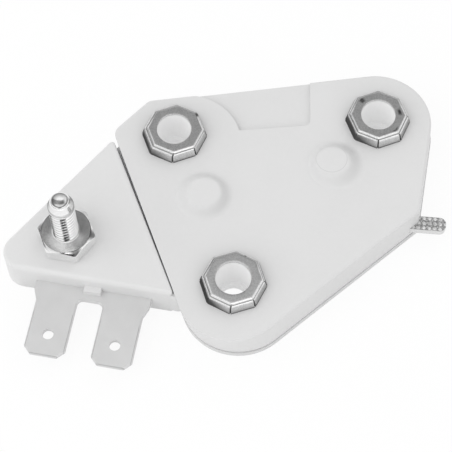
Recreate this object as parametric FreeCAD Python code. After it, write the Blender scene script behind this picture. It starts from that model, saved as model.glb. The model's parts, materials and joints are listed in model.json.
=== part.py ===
import FreeCAD, Part
import math
import os

# Alternator voltage regulator, in millimetres.
# The origin is the axis of the left bore at the back face of the base plate.
# +X runs to the right bore and +Z out of the top face.

# Fixing bores: left at the origin, right on the X axis, front nearest the viewer
bore_pitch = 32.3
front_bore_x = 7.22
front_bore_y = -26.66
bore_radius = 2.7
screw_radius = 2.15
screw_lip = 1.4
bush_wall = 0.7
boss_wall = 1.15
boss_rib_width = 1.2
left_rib_turn = -194.85
right_rib_turn = 20.0
front_rib_turn = -90.0
fit_gap = 0.06

# Heights from the back face
plate_thickness = 1.0
seal_thickness = 0.2
body_height = 6.3
roof_thickness = 1.2
cap_rise = 1.9

# Outline of the body at its top face, as distances of its sides from the bores
back_left = 7.0
back_right = 8.6
side_right = 8.55
side_lower = 9.15
side_slit = 8.9
corner_cut = 7.6
corner_cut_angle = 131.2
right_wall_angle = -14.4
lower_wall_angle = -54.44
front_round = 8.5
back_corner_round = 1.6
left_corner_round = 2.0
test_corner_round = 0.8
wall_thickness = 1.3
inner_corner_round = 0.5
wall_draft = 0.3
slit_undercut = 0.7
plate_lip = 0.12
seal_inset = 0.15
top_edge_round = 0.45
round_steps = 3

# Shallow recess at the back edge of the top face
recess_depth = 0.7
recess_front_y = 0.0
recess_right_x = 21.6
recess_lean = 5.4
recess_arc_x = 1.5
recess_arc_y = -1.6
recess_arc_radius = 8.9
recess_corner_round = 0.9

# Two low domes over the tall parts inside
dome_rise = 1.25
dome_foot_radius = 4.5
dome_top_radius = 2.4
dome_pocket_radius = 2.5
dome_profile = [(1.0, 0.0), (0.84, 0.05), (0.66, 0.2), (0.34, 0.64), (0.17, 0.9), (0.0, 1.0)]
left_dome_x = 3.7
left_dome_y = -11.4
left_dome_lean = 0.3
right_dome_to_bore = 7.5
right_dome_x = bore_pitch - right_dome_to_bore
right_dome_y = -7.6
right_dome_lean = -0.5

# Eight-sided contact caps
cap_sides = 8
cap_sheet = 0.4
cap_top_radius = 4.42
cap_shoulder_radius = 4.85
cap_foot_radius = 5.2
cap_bevel = 0.15
cap_groove = 0.12
cap_shoulder_drop = 0.5
cap_slot_width = 0.32
cap_slot_head = 0.25
cap_turn_left = 37.9
cap_turn_right = 38.3
cap_turn_front = 35.5

# Terminal wing, the separate moulding left of the slit
wing_back_angle = 134.63
wing_back = 6.95
wing_front_angle = -105.0
wing_front = 27.31
wing_round = 3.15
wing_tip_round = 0.5
wing_front_edge_round = 0.9
slit_width = 0.4
slit_taper = 0.7
rib_width = 2.6
rib_reach = 1.0
rib_height = 1.0

# Tongue that hooks the wing into the body
tongue_centre = 15.6
tongue_width = 3.6
tongue_height = 2.2
tongue_lift = 0.6
tongue_reach = 2.2
hook_reach = 0.8
hook_height = 0.5

# Twin blade stamping, along and out of the wing's front wall
blade_width = 6.35
blade_thickness = 0.8
blade_length = 12.0
blade_pitch = 10.28
blade_pair_centre = -7.14
blade_underside = 2.5
blade_tip_cut = 1.15
blade_corner_round = 0.3
blade_hole_radius = 0.85
blade_hole_inset = 3.5
blade_edge_bevel = 0.22
web_reach = 2.1
web_corner_round = 0.9
shoulder_step = 0.65
shoulder_length = 1.5
shoulder_slope = 1.6
embed_depth = 2.0
blade_tail_width = 2.4
blade_tail_line = 19.1
tail_landing = 1.6
tail_foot_length = 1.0

# Stud and its nut
stud_x = -17.45
stud_y = -17.0
stud_radius = 1.97
stud_height = 18.4
stud_core_radius = 1.77
collar_below_top = 1.4
neck_radius = 1.6
neck_below_top = 0.5
stud_end_radius = 1.36
stud_end_edge = 0.1
head_across = 7.0
head_height = 2.0
head_underside = 0.6
nut_across = 7.9
nut_height = 2.7
nut_turn = 46.0
nut_chamfer_radius = 3.8
nut_chamfer_drop = 0.55
nut_sink_radius = 2.35
nut_sink_depth = 0.35

# Test tab at the right corner
tab_past_bore = 4.65
tab_x = bore_pitch + tab_past_bore
tab_y = -17.0
tab_turn = -10.0
tab_width = 2.35
tab_thickness = 1.2
tab_reach = 4.25
tab_inside = 4.8
tab_round = 1.0

# Circuit inside
substrate_thickness = 0.8
substrate_boss_gap = 1.65
substrate_wall_gap = 0.55
substrate_slit_gap = 3.8
substrate_right = 1.7
spreader_size = 9.0
spreader_thickness = 0.5
power_x = 14.5
power_y = -13.2
power_length = 8.0
power_width = 7.0
power_height = 2.0
power_tab = 1.6
power_tab_thickness = 0.4
power_tab_inset = 0.3
power_bevel = 0.25
can_radius = 1.9
can_height = 3.9
can_edge = 0.4
diode_radius = 1.9
diode_height = 3.8
diode_base_radius = 2.5
diode_base_height = 0.8
chip_x = 22.8
chip_y = -15.6
chip_length = 4.9
chip_width = 3.9
chip_height = 1.5
chip_legs = 4
leg_width = 0.4
leg_reach = 0.9
leg_thickness = 0.2
package_bevel = 0.12
driver_x = 28.6
driver_y = -13.4
driver_length = 2.9
driver_width = 1.4
driver_height = 1.0
zener_x = 5.6
zener_y = -17.6
zener_radius = 0.8
zener_length = 3.6
zener_cap_length = 0.6
zener_cap_step = 0.06
resistor_length = 2.0
resistor_width = 1.25
resistor_height = 0.6
resistor_cap = 0.35
resistor_cap_step = 0.05
resistor_count = 6
resistor_x = 10.6
resistor_y = -19.5
resistor_pitch = 3.0
thermistor_to_bore = 1.9
thermistor_x = bore_pitch - thermistor_to_bore
thermistor_y = -9.4
thermistor_radius = 1.2
thermistor_height = 1.1
thermistor_bevel = 0.2

# Lead straps from the caps, and the lead of the stud
strap_width = 1.4
strap_thickness = 0.25
strap_landing = 1.0
stud_lead_width = 2.4
stud_lead_thickness = 0.5
stud_lead_ring = 3.2
stud_lead_landing = 1.9

# How far a cutting tool runs past the face that it opens
overcut = 1.0

# Worked out from the sizes above
left_bore = (0.0, 0.0)
right_bore = (bore_pitch, 0.0)
front_bore = (front_bore_x, front_bore_y)
bores = {"left": left_bore, "right": right_bore, "front": front_bore}
cap_turns = {"left": cap_turn_left, "right": cap_turn_right, "front": cap_turn_front}
housing_foot = plate_thickness + seal_thickness
ceiling = body_height - roof_thickness
tongue_bottom = housing_foot + tongue_lift
cap_top = body_height + cap_rise
boss_top = cap_top - cap_sheet
bush_radius = bore_radius + bush_wall
boss_radius = bush_radius + fit_gap + boss_wall
substrate_top = plate_thickness + substrate_thickness
slit_angle = math.degrees(math.atan2(-front_bore_x, front_bore_y))
back_angle = math.degrees(math.acos((back_left - back_right) / bore_pitch))


def vector(x, y, z=0.0):
    return FreeCAD.Vector(x, y, z)


def direction(angle):
    return (math.cos(math.radians(angle)), math.sin(math.radians(angle)))


def side(centre, angle, distance):
    """A straight side: its outward normal and its distance from the origin."""
    nx, ny = direction(angle)
    return (nx, ny, nx * centre[0] + ny * centre[1] + distance)


def crossing(first, second):
    """The point where two sides meet."""
    determinant = first[0] * second[1] - second[0] * first[1]
    x = (first[2] * second[1] - second[2] * first[1]) / determinant
    y = (first[0] * second[2] - second[0] * first[2]) / determinant
    return (x, y)


def rounded_wire(points, radii, z):
    """A closed wire through the points, each corner rounded by an arc of its radius."""
    starts = []
    edges = []
    count = len(points)
    for i in range(count):
        corner = vector(points[i][0], points[i][1], z)
        before = vector(points[i - 1][0], points[i - 1][1], z) - corner
        after = vector(points[(i + 1) % count][0], points[(i + 1) % count][1], z) - corner
        before.normalize()
        after.normalize()
        half = before.getAngle(after) / 2
        reach = radii[i] / math.tan(half)
        inward = before + after
        inward.normalize()
        middle = corner + inward * (radii[i] / math.sin(half) - radii[i])
        starts.append((corner + before * reach, middle, corner + after * reach))
    for i in range(count):
        enter, middle, leave = starts[i]
        if radii[i] > 0:
            edges.append(Part.Arc(enter, middle, leave).toShape())
        edges.append(Part.LineSegment(leave, starts[(i + 1) % count][0]).toShape())
    return Part.Wire(edges)


def outline(sides, radii, z):
    """A closed wire along the sides; radii[i] rounds the corner of side i with the next."""
    count = len(sides)
    points = [crossing(sides[i], sides[(i + 1) % count]) for i in range(count)]
    return rounded_wire(points, radii, z)


def plate(wire, height):
    return Part.Face(wire).extrude(vector(0, 0, height))


def rod(centre, radius, bottom, top):
    return Part.makeCylinder(radius, top - bottom, vector(centre[0], centre[1], bottom))


def polygon_points(centre, sides, radius, turn):
    """Corners of a regular polygon, the first one at the angle turn."""
    points = []
    for i in range(sides):
        dx, dy = direction(turn + 360.0 * i / sides)
        points.append((centre[0] + radius * dx, centre[1] + radius * dy))
    return points


def polygon_wire(centre, sides, radius, turn, z):
    points = [vector(x, y, z) for x, y in polygon_points(centre, sides, radius, turn)]
    return Part.makePolygon(points + points[:1])


def tapered(centre, sides, turn, sections):
    """A solid through regular polygons, one for each pair of height and corner radius."""
    wires = [polygon_wire(centre, sides, radius, turn, z) for z, radius in sections]
    return Part.makeLoft(wires, True, True)


def block(centre, length, width, bottom, top, turn=0.0):
    """A box centred on a point, its length turned from the X axis."""
    box = Part.makeBox(length, width, top - bottom, vector(-length / 2, -width / 2, bottom))
    box.rotate(vector(0, 0), vector(0, 0, 1), turn)
    box.translate(vector(centre[0], centre[1]))
    return box


def turned_point(origin, turn, along, across):
    """A point given along and across a direction that starts at origin."""
    ux, uy = direction(turn)
    return (origin[0] + along * ux - across * uy, origin[1] + along * uy + across * ux)


def join(shapes):
    whole = shapes[0]
    for shape in shapes[1:]:
        whole = whole.fuse(shape)
    return whole.removeSplitter()


def edges_at(shape, z, tolerance=0.001):
    """Edges that lie flat at one height."""
    found = []
    for edge in shape.Edges:
        box = edge.BoundBox
        if abs(box.ZMin - z) < tolerance and abs(box.ZMax - z) < tolerance:
            found.append(edge)
    return found


def save(name, shape):
    if len(shape.Solids) == 1:
        shape = shape.Solids[0]
    shape.exportStep("parts/" + name + ".step")
    print(name, "solids", len(shape.Solids), "volume", round(shape.Volume, 2), "valid", shape.isValid())


def body_sides(grow, slit_shift):
    """Sides of the body, moved out by grow, and by slit_shift at the slit."""
    return [
        side(right_bore, right_wall_angle, side_right + grow),
        side(right_bore, back_angle, back_right + grow),
        side(left_bore, corner_cut_angle, corner_cut + grow),
        side(left_bore, slit_angle, side_slit + slit_shift),
        side(front_bore, lower_wall_angle, side_lower + grow),
    ]


def body_radii(grow):
    return [
        back_right + grow,
        back_corner_round + grow,
        left_corner_round + grow,
        front_round + grow,
        test_corner_round + grow,
    ]


def cavity_radii():
    small = inner_corner_round
    return [back_right - wall_thickness, small, small, front_round - wall_thickness, small]


def slit_frame(along, out):
    """A point given along the slit from the left bore, and out from the line of the bores."""
    return turned_point(left_bore, slit_angle, out, along)


def wall_frame(along, out):
    """A point given along the wing's front wall, and out from the left bore."""
    return turned_point(left_bore, wing_front_angle, out, along)


def dome(x, y, lean):
    """A low dome with a flat top, its top moved sideways by lean."""
    wires = []
    for spread_share, rise_share in dome_profile:
        radius = dome_top_radius + (dome_foot_radius - dome_top_radius) * spread_share
        centre = vector(x + lean * rise_share, y, body_height + dome_rise * rise_share)
        wires.append(Part.Wire(Part.makeCircle(radius, centre)))
    return Part.makeLoft(wires, True, True)


def recess_tool():
    """The pocket sunk into the back edge of the top face, with an arc on its left."""
    far_y = back_right + 3 * overcut
    start_x = recess_arc_x + math.sqrt(recess_arc_radius ** 2 - (recess_front_y - recess_arc_y) ** 2)
    right_top_x = recess_right_x + (far_y - recess_front_y) * math.tan(math.radians(recess_lean))
    arc_top = vector(recess_arc_x, recess_arc_y + recess_arc_radius)
    start = vector(start_x, recess_front_y)
    middle_angle = math.degrees(math.atan2(recess_front_y - recess_arc_y, start_x - recess_arc_x))
    mx, my = direction((middle_angle + 90.0) / 2)
    middle = vector(recess_arc_x + recess_arc_radius * mx, recess_arc_y + recess_arc_radius * my)
    corner = vector(recess_right_x, recess_front_y)
    lean = vector(right_top_x - recess_right_x, far_y - recess_front_y).normalize()
    bend = recess_corner_round
    bend_middle = corner + (vector(-1, 0) + lean).normalize() * bend * (math.sqrt(2) - 1)
    edges = [
        Part.Arc(arc_top, middle, start).toShape(),
        Part.LineSegment(start, corner - vector(bend, 0)).toShape(),
        Part.Arc(corner - vector(bend, 0), bend_middle, corner + lean * bend).toShape(),
        Part.LineSegment(corner + lean * bend, vector(right_top_x, far_y)).toShape(),
        Part.LineSegment(vector(right_top_x, far_y), vector(recess_arc_x, far_y)).toShape(),
        Part.LineSegment(vector(recess_arc_x, far_y), arc_top).toShape(),
    ]
    wire = Part.Wire(edges)
    wire.translate(vector(0, 0, body_height - recess_depth))
    return plate(wire, recess_depth + overcut)


def boss_ribs(bottom, top):
    """Ribs that tie each bore's boss to its nearest wall."""
    turns = {"left": left_rib_turn, "right": right_rib_turn, "front": front_rib_turn}
    start = bush_radius + fit_gap
    reach = side_right - wall_thickness / 2
    ribs = []
    for name, turn in turns.items():
        centre = turned_point(bores[name], turn, (start + reach) / 2, 0)
        ribs.append(block(centre, reach - start, boss_rib_width, bottom, top, turn))
    return ribs


def strap_turn(name):
    return 90.0 if name == "front" else -90.0


def strap_slot(name):
    """Room in a boss for the lead strap that runs down from its cap."""
    centre = bores[name]
    turn = strap_turn(name)
    inner = bush_radius + fit_gap
    width = strap_width + 2 * fit_gap
    slot_depth = strap_thickness + 2 * fit_gap
    mouth = turned_point(centre, turn, inner, 0)
    foot = plate_thickness - overcut
    slot = block(mouth, 2 * slot_depth, width, foot, boss_top + overcut, turn)
    door = turned_point(centre, turn, inner + boss_wall / 2, 0)
    door_top = substrate_top + strap_thickness + 2 * fit_gap
    opening = block(door, boss_wall + 2 * overcut, width, foot, door_top, turn)
    return slot.fuse(opening)


def wall_window(along, width, bottom, top):
    """A window through the body's wall at the slit, with the fit gap all round."""
    centre = slit_frame(along, side_slit - wall_thickness / 2)
    length = wall_thickness + 3 * overcut
    return block(centre, length, width + 2 * fit_gap, bottom - fit_gap, top + fit_gap, slit_angle)


def test_tab_shape(grow):
    """The flat tab: a strip with a rounded outer end, grown all round by grow."""
    start = turned_point((tab_x, tab_y), tab_turn, -tab_inside, 0)
    half = tab_width / 2 + grow
    length = tab_inside + tab_reach
    corners = [(-grow, -half), (length, -half), (length, half), (-grow, half)]
    points = [turned_point(start, tab_turn, along, across) for along, across in corners]
    wire = rounded_wire(points, [0.0, tab_round, tab_round, 0.0], substrate_top - grow)
    return plate(wire, tab_thickness + 2 * grow)


def make_housing():
    wires = [outline(body_sides(wall_draft, -slit_undercut), body_radii(wall_draft), housing_foot)]
    for i in range(round_steps + 1):
        angle = math.radians(90.0 * i / round_steps)
        inset = top_edge_round * (1 - math.cos(angle))
        height = body_height - top_edge_round * (1 - math.sin(angle))
        wires.append(outline(body_sides(-inset, 0.0), body_radii(-inset), height))
    shell = Part.makeLoft(wires, True, True)
    shell = shell.cut(recess_tool())
    inner = body_sides(-wall_thickness, -slit_undercut - wall_thickness)
    cavity = plate(outline(inner, cavity_radii(), housing_foot), ceiling - housing_foot)
    shell = shell.cut(cavity)
    for ribs in boss_ribs(housing_foot, ceiling):
        shell = shell.fuse(ribs)
    for name, centre in bores.items():
        boss = rod(centre, boss_radius, plate_thickness, ceiling)
        inner_cap = cap_foot_radius - cap_sheet - fit_gap
        inner_top = cap_shoulder_radius - cap_sheet - fit_gap
        sections = [
            (ceiling, inner_cap),
            (body_height, inner_cap),
            (cap_top - cap_shoulder_drop, inner_top),
            (boss_top, inner_top - cap_bevel - cap_groove),
        ]
        head = tapered(centre, cap_sides, cap_turns[name], sections)
        shell = shell.fuse(boss).fuse(head)
    domes = [
        (left_dome_x, left_dome_y, left_dome_lean),
        (right_dome_x, right_dome_y, right_dome_lean),
    ]
    for x, y, lean in domes:
        shell = shell.fuse(dome(x, y, lean))
        shell = shell.cut(rod((x, y), dome_pocket_radius, ceiling - overcut, ceiling + dome_rise))
    for name, centre in bores.items():
        shell = shell.cut(rod(centre, bush_radius + fit_gap, 0.0, cap_top))
        shell = shell.cut(strap_slot(name))
    shell = shell.cut(wall_window(tongue_centre, tongue_width, tongue_bottom,
                                  tongue_bottom + tongue_height + hook_height))
    shell = shell.cut(wall_window(blade_tail_line, blade_tail_width, blade_underside,
                                  blade_underside + blade_thickness))
    lead_bottom = head_underside + head_height
    shell = shell.cut(wall_window(stud_line(), stud_lead_width, lead_bottom,
                                  lead_bottom + stud_lead_thickness))
    shell = shell.cut(test_tab_shape(fit_gap))
    return shell.removeSplitter()


def stud_line():
    """How far along the slit the stud stands."""
    ux, uy = direction(slit_angle + 90.0)
    return stud_x * ux + stud_y * uy


def make_base_plate():
    wire = outline(body_sides(wall_draft + plate_lip, -slit_undercut), body_radii(wall_draft), 0.0)
    sheet = plate(wire, plate_thickness)
    for centre in bores.values():
        sheet = sheet.cut(rod(centre, bush_radius + fit_gap, -overcut, plate_thickness + overcut))
    return sheet


def make_rim_seal():
    """The dark adhesive film between the plate and the housing's rim."""
    outer = body_sides(wall_draft - seal_inset, -slit_undercut - seal_inset)
    inner = body_sides(-wall_thickness, -slit_undercut - wall_thickness)
    film = plate(outline(outer, body_radii(wall_draft), plate_thickness), seal_thickness)
    return film.cut(plate(outline(inner, cavity_radii(), plate_thickness), seal_thickness))


def make_contact_cap(name):
    """A stamped octagonal cap: flat top, bevel, groove, and a skirt slit at its corners."""
    centre = bores[name]
    turn = cap_turns[name]
    shoulder = cap_top - cap_shoulder_drop
    groove_top = cap_top - cap_bevel - cap_groove / 2
    groove_foot = groove_top - cap_groove
    outer = [
        (body_height, cap_foot_radius),
        (shoulder, cap_shoulder_radius),
        (groove_foot, cap_shoulder_radius - cap_groove),
        (groove_foot, cap_top_radius + cap_bevel - cap_groove / 2),
        (groove_top, cap_top_radius + cap_bevel - cap_groove / 2),
        (groove_top, cap_top_radius + cap_bevel + cap_groove / 2),
        (cap_top, cap_top_radius),
    ]
    layers = []
    for lower, upper in zip(outer[:-1], outer[1:]):
        if upper[0] > lower[0]:
            layers.append(tapered(centre, cap_sides, turn, [lower, upper]))
    shell = join(layers)
    inner_foot = cap_foot_radius - cap_sheet
    inner_shoulder = cap_shoulder_radius - cap_sheet
    inner = [
        (body_height, inner_foot),
        (shoulder, inner_shoulder),
        (boss_top, inner_shoulder - cap_bevel - cap_groove),
    ]
    shell = shell.cut(tapered(centre, cap_sides, turn, inner))
    shell = shell.cut(rod(centre, bore_radius, body_height, cap_top + overcut))
    for i in range(cap_sides):
        angle = turn + 360.0 * i / cap_sides
        middle = turned_point(centre, angle, cap_foot_radius, 0)
        shell = shell.cut(block(middle, 3 * cap_sheet, cap_slot_width, body_height - overcut,
                                shoulder - cap_slot_head, angle))
    return shell


def make_insulating_bush(name):
    """The moulded bush that lines a bore, with an inner lip for the screw at its foot."""
    centre = bores[name]
    bush = rod(centre, bush_radius, 0.0, boss_top)
    bush = bush.cut(rod(centre, screw_radius, -overcut, boss_top + overcut))
    return bush.cut(rod(centre, bore_radius, screw_lip, boss_top + overcut))


def wing_sides():
    slit_normal = slit_angle + 180.0 + slit_taper
    slit_start = slit_frame(0.0, side_slit + slit_width)
    return [
        side(left_bore, wing_back_angle, wing_back),
        side(left_bore, wing_front_angle, wing_front),
        side(slit_start, slit_normal, 0.0),
    ]


def front_edge_tool():
    """What the larger round takes off the top edge above the blades: a bar less a round rod."""
    left, right = blade_points()
    along = (left + right) / 2
    length = 2 * wing_front
    radius = wing_front_edge_round
    size = radius + overcut
    centre = wall_frame(along, wing_front - radius + size / 2)
    bottom = body_height - radius
    bar = block(centre, length, size, bottom, bottom + size, wing_front_angle + 90.0)
    start = wall_frame(along - length / 2, wing_front - radius)
    ux, uy = direction(wing_front_angle + 90.0)
    round_rod = Part.makeCylinder(radius, length, vector(start[0], start[1], bottom), vector(ux, uy))
    return bar.cut(round_rod)


def blade_points():
    """Middles of the two blades along the wing's front wall."""
    return [blade_pair_centre - blade_pitch / 2, blade_pair_centre + blade_pitch / 2]


def blade_stamping_wire(z):
    """Outline of the twin blade stamping, from its root in the wing to its tips."""
    left, right = blade_points()
    half = blade_width / 2
    root = wing_front - embed_depth
    web = wing_front + web_reach
    tip = wing_front + blade_length
    cut = blade_tip_cut
    soft = blade_corner_round
    step = wing_front + shoulder_length
    corners = [
        (left - half - shoulder_step, root, 0.0),
        (right + half + shoulder_step, root, 0.0),
        (right + half + shoulder_step, step, 0.0),
        (right + half, step + shoulder_slope, 0.0),
        (right + half, tip - cut, soft),
        (right + half - cut, tip, soft),
        (right - half + cut, tip, soft),
        (right - half, tip - cut, soft),
        (right - half, web, web_corner_round),
        (left + half, web, web_corner_round),
        (left + half, tip - cut, soft),
        (left + half - cut, tip, soft),
        (left - half + cut, tip, soft),
        (left - half, tip - cut, soft),
        (left - half, step + shoulder_slope, 0.0),
        (left - half - shoulder_step, step, 0.0),
    ]
    points = [wall_frame(along, out) for along, out, radius in corners]
    return rounded_wire(points, [radius for along, out, radius in corners], z)


def tail_strip(grow, bottom, top):
    """The tail of the stamping, which runs through the slit wall to the substrate."""
    inner = tail_landing - grow
    root_along = blade_pair_centre + blade_pitch / 2 - blade_width / 2
    start = wall_frame(root_along, wing_front - embed_depth / 2)
    ux, uy = direction(slit_angle)
    outer = start[0] * ux + start[1] * uy
    centre = slit_frame(blade_tail_line, (inner + outer) / 2)
    return block(centre, outer - inner, blade_tail_width + 2 * grow, bottom, top, slit_angle)


def make_twin_blade_terminal():
    top = blade_underside + blade_thickness
    stamping = plate(blade_stamping_wire(blade_underside), blade_thickness)
    strip = tail_strip(0.0, blade_underside, top)
    stamping = stamping.fuse(strip).removeSplitter()
    bevelled = []
    for edge in stamping.Edges:
        box = edge.BoundBox
        flat = abs(box.ZMax - box.ZMin) < 0.001
        middle = edge.valueAt((edge.FirstParameter + edge.LastParameter) / 2)
        out = blade_out(middle)
        if flat and out > wing_front + web_reach + 2 * web_corner_round:
            bevelled.append(edge)
    stamping = stamping.makeChamfer(blade_edge_bevel, bevelled)
    for along in blade_points():
        hole = wall_frame(along, wing_front + blade_length - blade_hole_inset)
        stamping = stamping.cut(rod(hole, blade_hole_radius, 0.0, body_height))
    foot_centre = slit_frame(blade_tail_line, tail_landing + tail_foot_length / 2)
    foot = block(foot_centre, tail_foot_length, blade_tail_width, substrate_top, top, slit_angle)
    return stamping.fuse(foot).removeSplitter()


def blade_out(point):
    nx, ny = direction(wing_front_angle)
    return nx * point.x + ny * point.y


def make_terminal_wing():
    """The wing moulding with the seats of its stud and blades and the tongue that hooks it."""
    wire = outline(wing_sides(), [wing_round, wing_tip_round, wing_tip_round], 0.0)
    wing = plate(wire, body_height)
    front = []
    back = []
    for edge in edges_at(wing, body_height):
        middle = edge.valueAt((edge.FirstParameter + edge.LastParameter) / 2)
        nx, ny, distance = wing_sides()[0]
        along_back = abs(nx * middle.x + ny * middle.y - distance) < top_edge_round
        if blade_out(middle) > wing_front - top_edge_round:
            front.append(edge)
        elif along_back or edge.Curve.TypeId == "Part::GeomCircle":
            back.append(edge)
    wing = wing.makeFillet(top_edge_round, front + back).cut(front_edge_tool())
    left, right = blade_points()
    rib_centre = wall_frame((left + right) / 2, wing_front + (rib_reach - overcut) / 2)
    rib_bottom = blade_underside + blade_thickness
    rib = block(rib_centre, rib_width, rib_reach + overcut, rib_bottom, rib_bottom + rib_height,
                wing_front_angle + 90.0)
    wing = wing.fuse(rib)
    tongue_inner = side_slit - slit_undercut - wall_thickness - tongue_reach
    tongue_outer = side_slit + slit_width + overcut
    tongue_middle = slit_frame(tongue_centre, (tongue_inner + tongue_outer) / 2)
    tongue = block(tongue_middle, tongue_outer - tongue_inner, tongue_width, tongue_bottom,
                   tongue_bottom + tongue_height, slit_angle)
    hook_outer = side_slit - slit_undercut - wall_thickness - fit_gap
    hook_middle = slit_frame(tongue_centre, hook_outer - hook_reach / 2)
    hook = block(hook_middle, hook_reach, tongue_width, tongue_bottom,
                 tongue_bottom + tongue_height + hook_height, slit_angle)
    wing = wing.fuse(tongue).fuse(hook)
    gap = fit_gap
    cut_wire = blade_stamping_wire(blade_underside - gap)
    seat = plate(cut_wire, blade_thickness + gap)
    wing = wing.cut(seat)
    wing = wing.cut(tail_strip(gap, blade_underside - gap, blade_underside + blade_thickness + gap))
    stud = (stud_x, stud_y)
    wing = wing.cut(rod(stud, stud_core_radius + gap, 0.0, body_height + overcut))
    lead_top = head_underside + head_height + stud_lead_thickness
    head_seat = polygon_wire(stud, 6, (head_across / 2 + gap) / math.cos(math.pi / 6), nut_turn, 0.0)
    wing = wing.cut(plate(head_seat, lead_top))
    wing = wing.cut(stud_lead_strip(gap, lead_top - stud_lead_thickness - gap, lead_top))
    return wing.removeSplitter()


def stud_lead_strip(grow, bottom, top):
    """Ring and strip of the stud's lead."""
    stud = (stud_x, stud_y)
    ux, uy = direction(slit_angle)
    outer = stud_x * ux + stud_y * uy
    inner = stud_lead_landing - grow
    centre = slit_frame(stud_line(), (outer + inner) / 2)
    strip = block(centre, outer - inner, stud_lead_width + 2 * grow, bottom, top, slit_angle)
    return strip.fuse(rod(stud, stud_lead_ring + grow, bottom, top))


def make_stud_lead():
    bottom = head_underside + head_height
    top = bottom + stud_lead_thickness
    lead = stud_lead_strip(0.0, bottom, top)
    foot_centre = slit_frame(stud_line(), stud_lead_landing + tail_foot_length / 2)
    foot = block(foot_centre, tail_foot_length, stud_lead_width, substrate_top, top, slit_angle)
    lead = lead.fuse(foot)
    return lead.cut(rod((stud_x, stud_y), stud_core_radius + fit_gap, 0.0, body_height)).removeSplitter()


def make_terminal_stud():
    """Headed stud: hexagon head, core in the wing, thread at its crest size, cone and flat end."""
    head_top = head_underside + head_height
    nut_top = body_height + nut_height
    profile = [
        (0.0, head_top),
        (stud_core_radius, head_top),
        (stud_core_radius, nut_top),
        (stud_radius, nut_top),
        (stud_radius, stud_height - collar_below_top),
        (neck_radius, stud_height - neck_below_top),
        (stud_end_radius, stud_height - stud_end_edge),
        (stud_end_radius - stud_end_edge, stud_height),
        (0.0, stud_height),
    ]
    points = [vector(radius, 0, z) for radius, z in profile]
    shank = Part.Face(Part.makePolygon(points + points[:1])).revolve(vector(0, 0), vector(0, 0, 1), 360)
    shank.translate(vector(stud_x, stud_y, 0))
    corner_radius = head_across / 2 / math.cos(math.pi / 6)
    head = plate(polygon_wire((stud_x, stud_y), 6, corner_radius, nut_turn, head_underside), head_height)
    return shank.fuse(head).removeSplitter()


def make_stud_nut():
    """Hexagon nut with a turned chamfer on top and a sunk mouth round the thread."""
    stud = (stud_x, stud_y)
    corner_radius = nut_across / 2 / math.cos(math.pi / 6)
    top = body_height + nut_height
    blank = plate(polygon_wire(stud, 6, corner_radius, nut_turn, body_height), nut_height)
    slope = (corner_radius - nut_chamfer_radius) / nut_chamfer_drop
    wide = nut_chamfer_radius + slope * nut_height
    turned = Part.makeCone(wide, nut_chamfer_radius, nut_height, vector(stud_x, stud_y, body_height))
    nut = blank.common(turned)
    bore = stud_core_radius + fit_gap
    sink = Part.makeCone(bore, nut_sink_radius, nut_sink_depth,
                         vector(stud_x, stud_y, top - nut_sink_depth))
    nut = nut.cut(sink)
    return nut.cut(rod(stud, bore, body_height - overcut, top + overcut))


def make_test_tab():
    """Flat tab whose rounded end stands out of the body's right corner."""
    return test_tab_shape(0.0)


def make_ceramic_substrate():
    sides = [
        side(right_bore, 0.0, substrate_right),
        side(left_bore, 90.0, -boss_radius - substrate_boss_gap),
        side(left_bore, slit_angle, side_slit - slit_undercut - wall_thickness - substrate_slit_gap),
        side(front_bore, -90.0, -boss_radius - substrate_boss_gap),
        side(front_bore, lower_wall_angle, side_lower - wall_thickness - substrate_wall_gap),
    ]
    return plate(outline(sides, [0.0] * 5, plate_thickness), substrate_thickness)


def make_heat_spreader():
    centre = (power_x, power_y)
    return block(centre, spreader_size + power_tab, spreader_size, substrate_top,
                 substrate_top + spreader_thickness)


def make_output_transistor():
    """Moulded power package with its metal tab and bevelled top."""
    bottom = substrate_top + spreader_thickness
    top = bottom + power_height
    tab_top = bottom + power_tab_thickness
    body = block((power_x - power_tab / 2, power_y), power_length, power_width, tab_top, top)
    body = body.makeChamfer(power_bevel, edges_at(body, top))
    tab_side = power_width - 2 * power_tab_inset
    tab = block((power_x, power_y), power_length + power_tab, tab_side, bottom, tab_top)
    return body.fuse(tab).removeSplitter()


def make_filter_capacitor():
    can = rod((left_dome_x, left_dome_y), can_radius, substrate_top, substrate_top + can_height)
    return can.makeChamfer(can_edge, edges_at(can, substrate_top + can_height))


def make_flyback_diode():
    centre = (right_dome_x, right_dome_y)
    base = rod(centre, diode_base_radius, substrate_top, substrate_top + diode_base_height)
    body = rod(centre, diode_radius, substrate_top, substrate_top + diode_height)
    return base.fuse(body)


def legged_package(x, y, length, width, height, lower_legs, upper_legs):
    """A small moulded package that stands on bent legs along two sides."""
    foot = substrate_top
    body = block((x, y), length, width, foot + leg_thickness, foot + leg_thickness + height)
    body = body.makeChamfer(package_bevel, edges_at(body, foot + leg_thickness + height))
    legs = []
    for count, sign in ((lower_legs, -1.0), (upper_legs, 1.0)):
        for i in range(count):
            leg_x = x + length * ((i + 0.5) / count - 0.5)
            inner = y + sign * width / 2
            outer = inner + sign * leg_reach
            legs.append(block((leg_x, (inner + outer) / 2), leg_width, leg_reach, foot,
                              foot + leg_thickness))
            legs.append(block((leg_x, inner + sign * leg_thickness / 2), leg_width, leg_thickness,
                              foot, foot + leg_thickness + height / 2))
    return join([body] + legs)


def make_control_chip():
    return legged_package(chip_x, chip_y, chip_length, chip_width, chip_height, chip_legs, chip_legs)


def make_driver_transistor():
    return legged_package(driver_x, driver_y, driver_length, driver_width, driver_height, 2, 1)


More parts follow.
